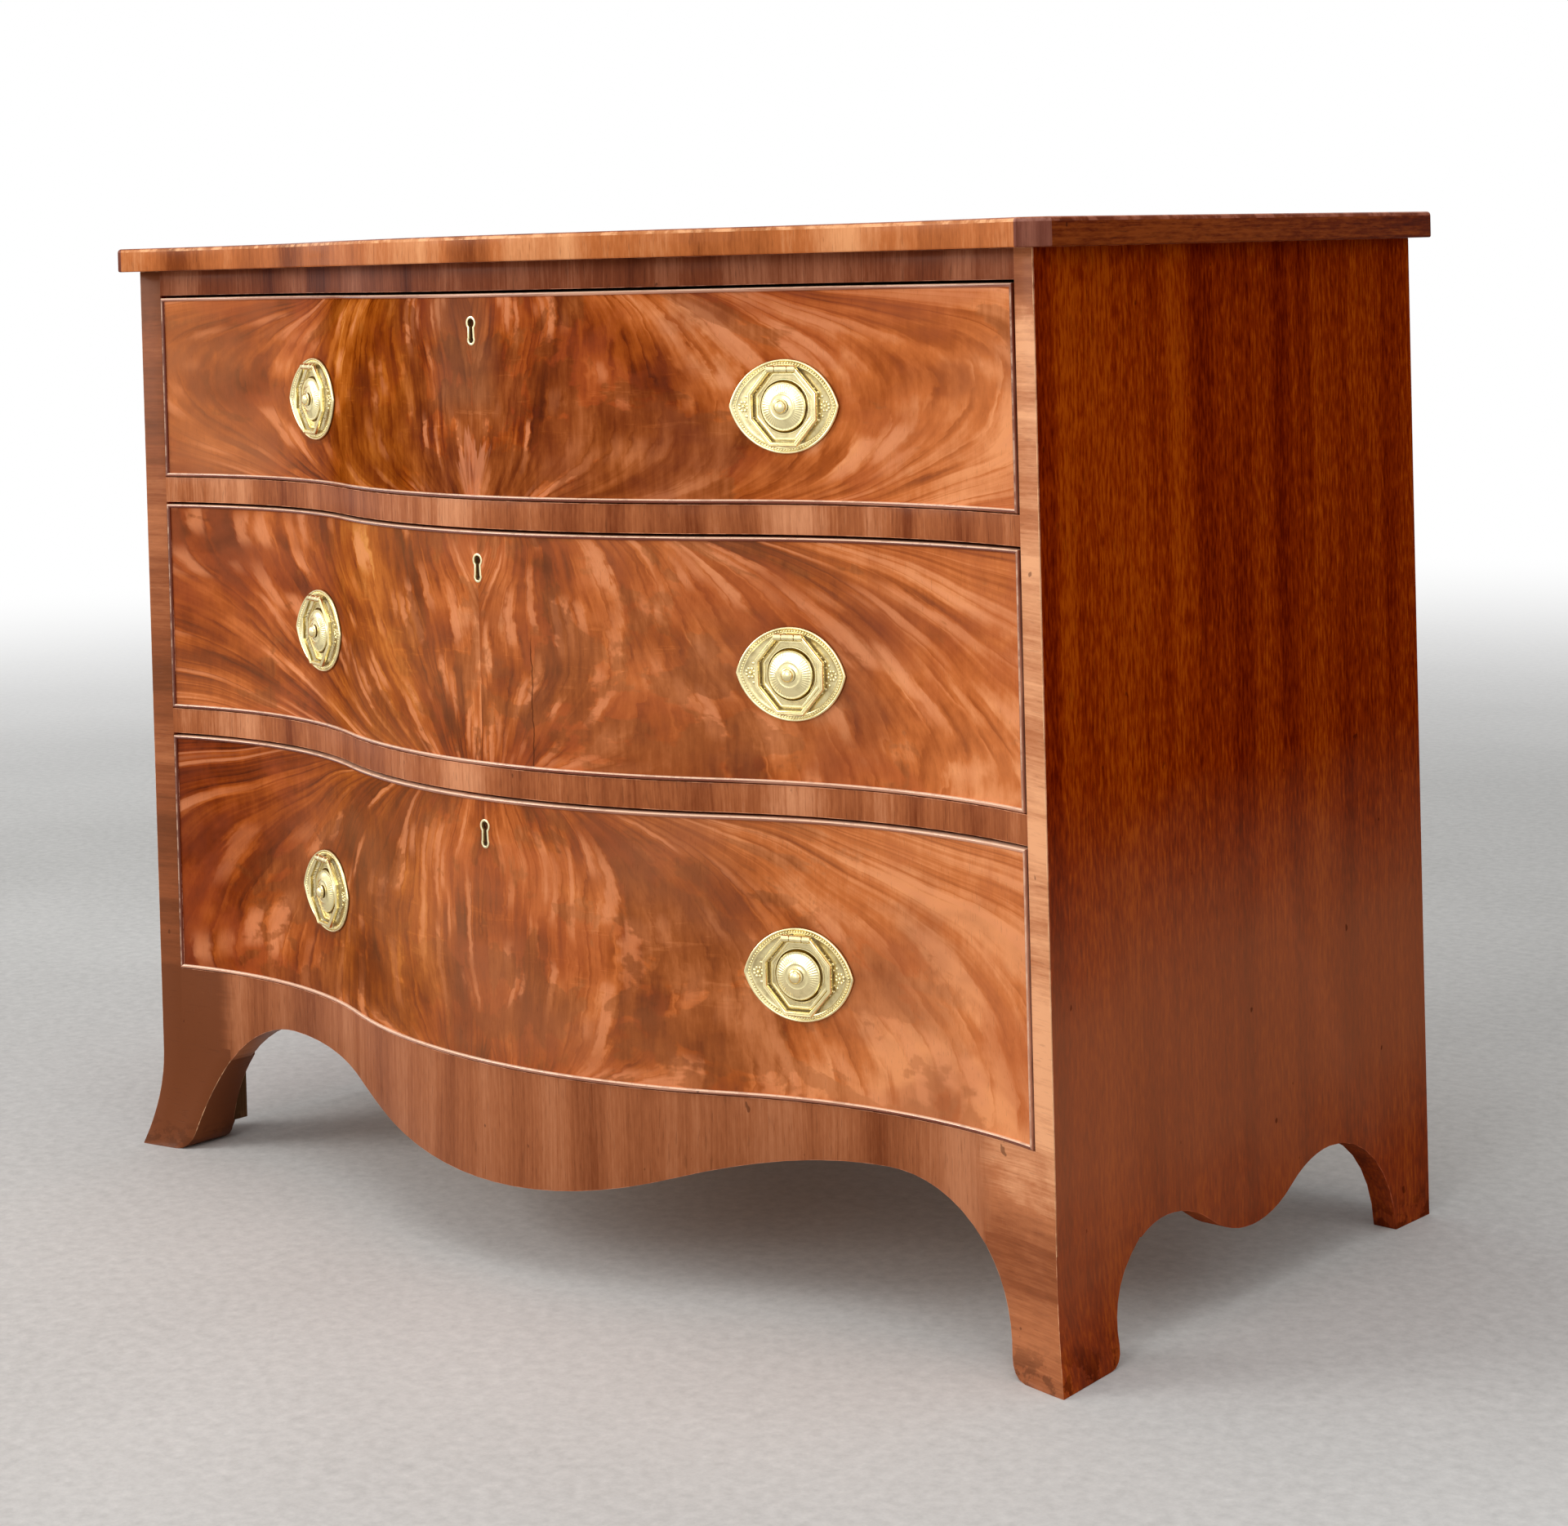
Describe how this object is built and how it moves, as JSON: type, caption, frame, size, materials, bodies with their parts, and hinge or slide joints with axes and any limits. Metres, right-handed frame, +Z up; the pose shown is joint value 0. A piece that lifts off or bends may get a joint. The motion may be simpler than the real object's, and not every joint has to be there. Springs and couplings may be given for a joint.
{
  "type": "serpentine commode",
  "caption": "Serpentine commode with cockbeaded long drawers in flame mahogany, mortised locks, octagonal bail pulls on pointed oval plates, a shaped apron and splayed front feet.",
  "frame": {"origin": "on the floor, under the middle of the top board's outline", "axes": "+X to the right seen from the front, +Y to the back, +Z up"},
  "size_m": [1.0406, 0.5774, 0.8066],
  "materials": {
    "mahogany": "solid red-brown mahogany, french polished",
    "carcase_mahogany": "plain mahogany under the veneer, left bare inside",
    "crossband": "crossbanded mahogany veneer, french polished, worn at the arrises",
    "flame_veneer": "bookmatched flame mahogany veneer, french polished",
    "bead_wood": "pale polished beading",
    "pine": "bare pine, aged",
    "brass": "pale polished brass",
    "iron": "filed iron"
  },
  "bodies": {
    "case": {"top_board": "mahogany", "left_side": "mahogany", "right_side": "mahogany", "back_boards": "pine", "top_rail": "crossband", "upper_divider": "crossband", "lower_divider": "crossband", "apron": "crossband", "bottom_board": "pine", "upper_dust_board": "pine", "lower_dust_board": "pine", "drawer_runners": "pine", "drawer_stops": "pine", "left_front_foot": "crossband", "right_front_foot": "crossband", "glue_blocks": "pine", "stile_facings": "crossband", "top_screws": "iron"},
    "top_drawer": {"top_drawer_front": "carcase_mahogany", "top_drawer_veneer": "flame_veneer", "top_drawer_cockbead": "bead_wood", "top_drawer_sides": "pine", "top_drawer_back": "pine", "top_drawer_bottom": "pine", "top_lock": "iron", "top_escutcheon": "brass", "top_left_plate": "brass", "top_right_plate": "brass", "top_pull_bolts": "brass"},
    "top_lock_bolt_body": {"top_lock_bolt": "brass"},
    "top_left_bail_body": {"top_left_bail": "brass"},
    "top_right_bail_body": {"top_right_bail": "brass"},
    "middle_drawer": {"middle_drawer_front": "carcase_mahogany", "middle_drawer_veneer": "flame_veneer", "middle_drawer_cockbead": "bead_wood", "middle_drawer_sides": "pine", "middle_drawer_back": "pine", "middle_drawer_bottom": "pine", "middle_lock": "iron", "middle_escutcheon": "brass", "middle_left_plate": "brass", "middle_right_plate": "brass", "middle_pull_bolts": "brass"},
    "middle_lock_bolt_body": {"middle_lock_bolt": "brass"},
    "middle_left_bail_body": {"middle_left_bail": "brass"},
    "middle_right_bail_body": {"middle_right_bail": "brass"},
    "bottom_drawer": {"bottom_drawer_front": "carcase_mahogany", "bottom_drawer_veneer": "flame_veneer", "bottom_drawer_cockbead": "bead_wood", "bottom_drawer_sides": "pine", "bottom_drawer_back": "pine", "bottom_drawer_bottom": "pine", "bottom_lock": "iron", "bottom_escutcheon": "brass", "bottom_left_plate": "brass", "bottom_right_plate": "brass", "bottom_pull_bolts": "brass"},
    "bottom_lock_bolt_body": {"bottom_lock_bolt": "brass"},
    "bottom_left_bail_body": {"bottom_left_bail": "brass"},
    "bottom_right_bail_body": {"bottom_right_bail": "brass"}
  },
  "joints": [
    {"name": "top_drawer_slide", "type": "slide", "parent": "case", "child": "top_drawer", "axis": [0, -1, 0], "range_m": [0, 0.33]},
    {"name": "top_lock_bolt_slide", "type": "slide", "parent": "top_drawer", "child": "top_lock_bolt_body", "axis": [0, 0, 1], "range_m": [0, 0.008]},
    {"name": "top_left_bail_hinge", "type": "hinge", "parent": "top_drawer", "child": "top_left_bail_body", "pos_m": [-0.26861, -0.20907, 0.70169], "axis": [-0.9628, 0.2702, 0], "range_deg": [0, 95]},
    {"name": "top_right_bail_hinge", "type": "hinge", "parent": "top_drawer", "child": "top_right_bail_body", "pos_m": [0.26861, -0.20907, 0.70169], "axis": [-0.9628, -0.2702, 0], "range_deg": [0, 95]},
    {"name": "middle_drawer_slide", "type": "slide", "parent": "case", "child": "middle_drawer", "axis": [0, -1, 0], "range_m": [0, 0.33]},
    {"name": "middle_lock_bolt_slide", "type": "slide", "parent": "middle_drawer", "child": "middle_lock_bolt_body", "axis": [0, 0, 1], "range_m": [0, 0.008]},
    {"name": "middle_left_bail_hinge", "type": "hinge", "parent": "middle_drawer", "child": "middle_left_bail_body", "pos_m": [-0.26861, -0.20907, 0.50447], "axis": [-0.9628, 0.2702, 0], "range_deg": [0, 95]},
    {"name": "middle_right_bail_hinge", "type": "hinge", "parent": "middle_drawer", "child": "middle_right_bail_body", "pos_m": [0.26861, -0.20907, 0.50447], "axis": [-0.9628, -0.2702, 0], "range_deg": [0, 95]},
    {"name": "bottom_drawer_slide", "type": "slide", "parent": "case", "child": "bottom_drawer", "axis": [0, -1, 0], "range_m": [0, 0.33]},
    {"name": "bottom_lock_bolt_slide", "type": "slide", "parent": "bottom_drawer", "child": "bottom_lock_bolt_body", "axis": [0, 0, 1], "range_m": [0, 0.008]},
    {"name": "bottom_left_bail_hinge", "type": "hinge", "parent": "bottom_drawer", "child": "bottom_left_bail_body", "pos_m": [-0.26861, -0.20907, 0.28204], "axis": [-0.9628, 0.2702, 0], "range_deg": [0, 95]},
    {"name": "bottom_right_bail_hinge", "type": "hinge", "parent": "bottom_drawer", "child": "bottom_right_bail_body", "pos_m": [0.26861, -0.20907, 0.28204], "axis": [-0.9628, -0.2702, 0], "range_deg": [0, 95]}
  ]
}
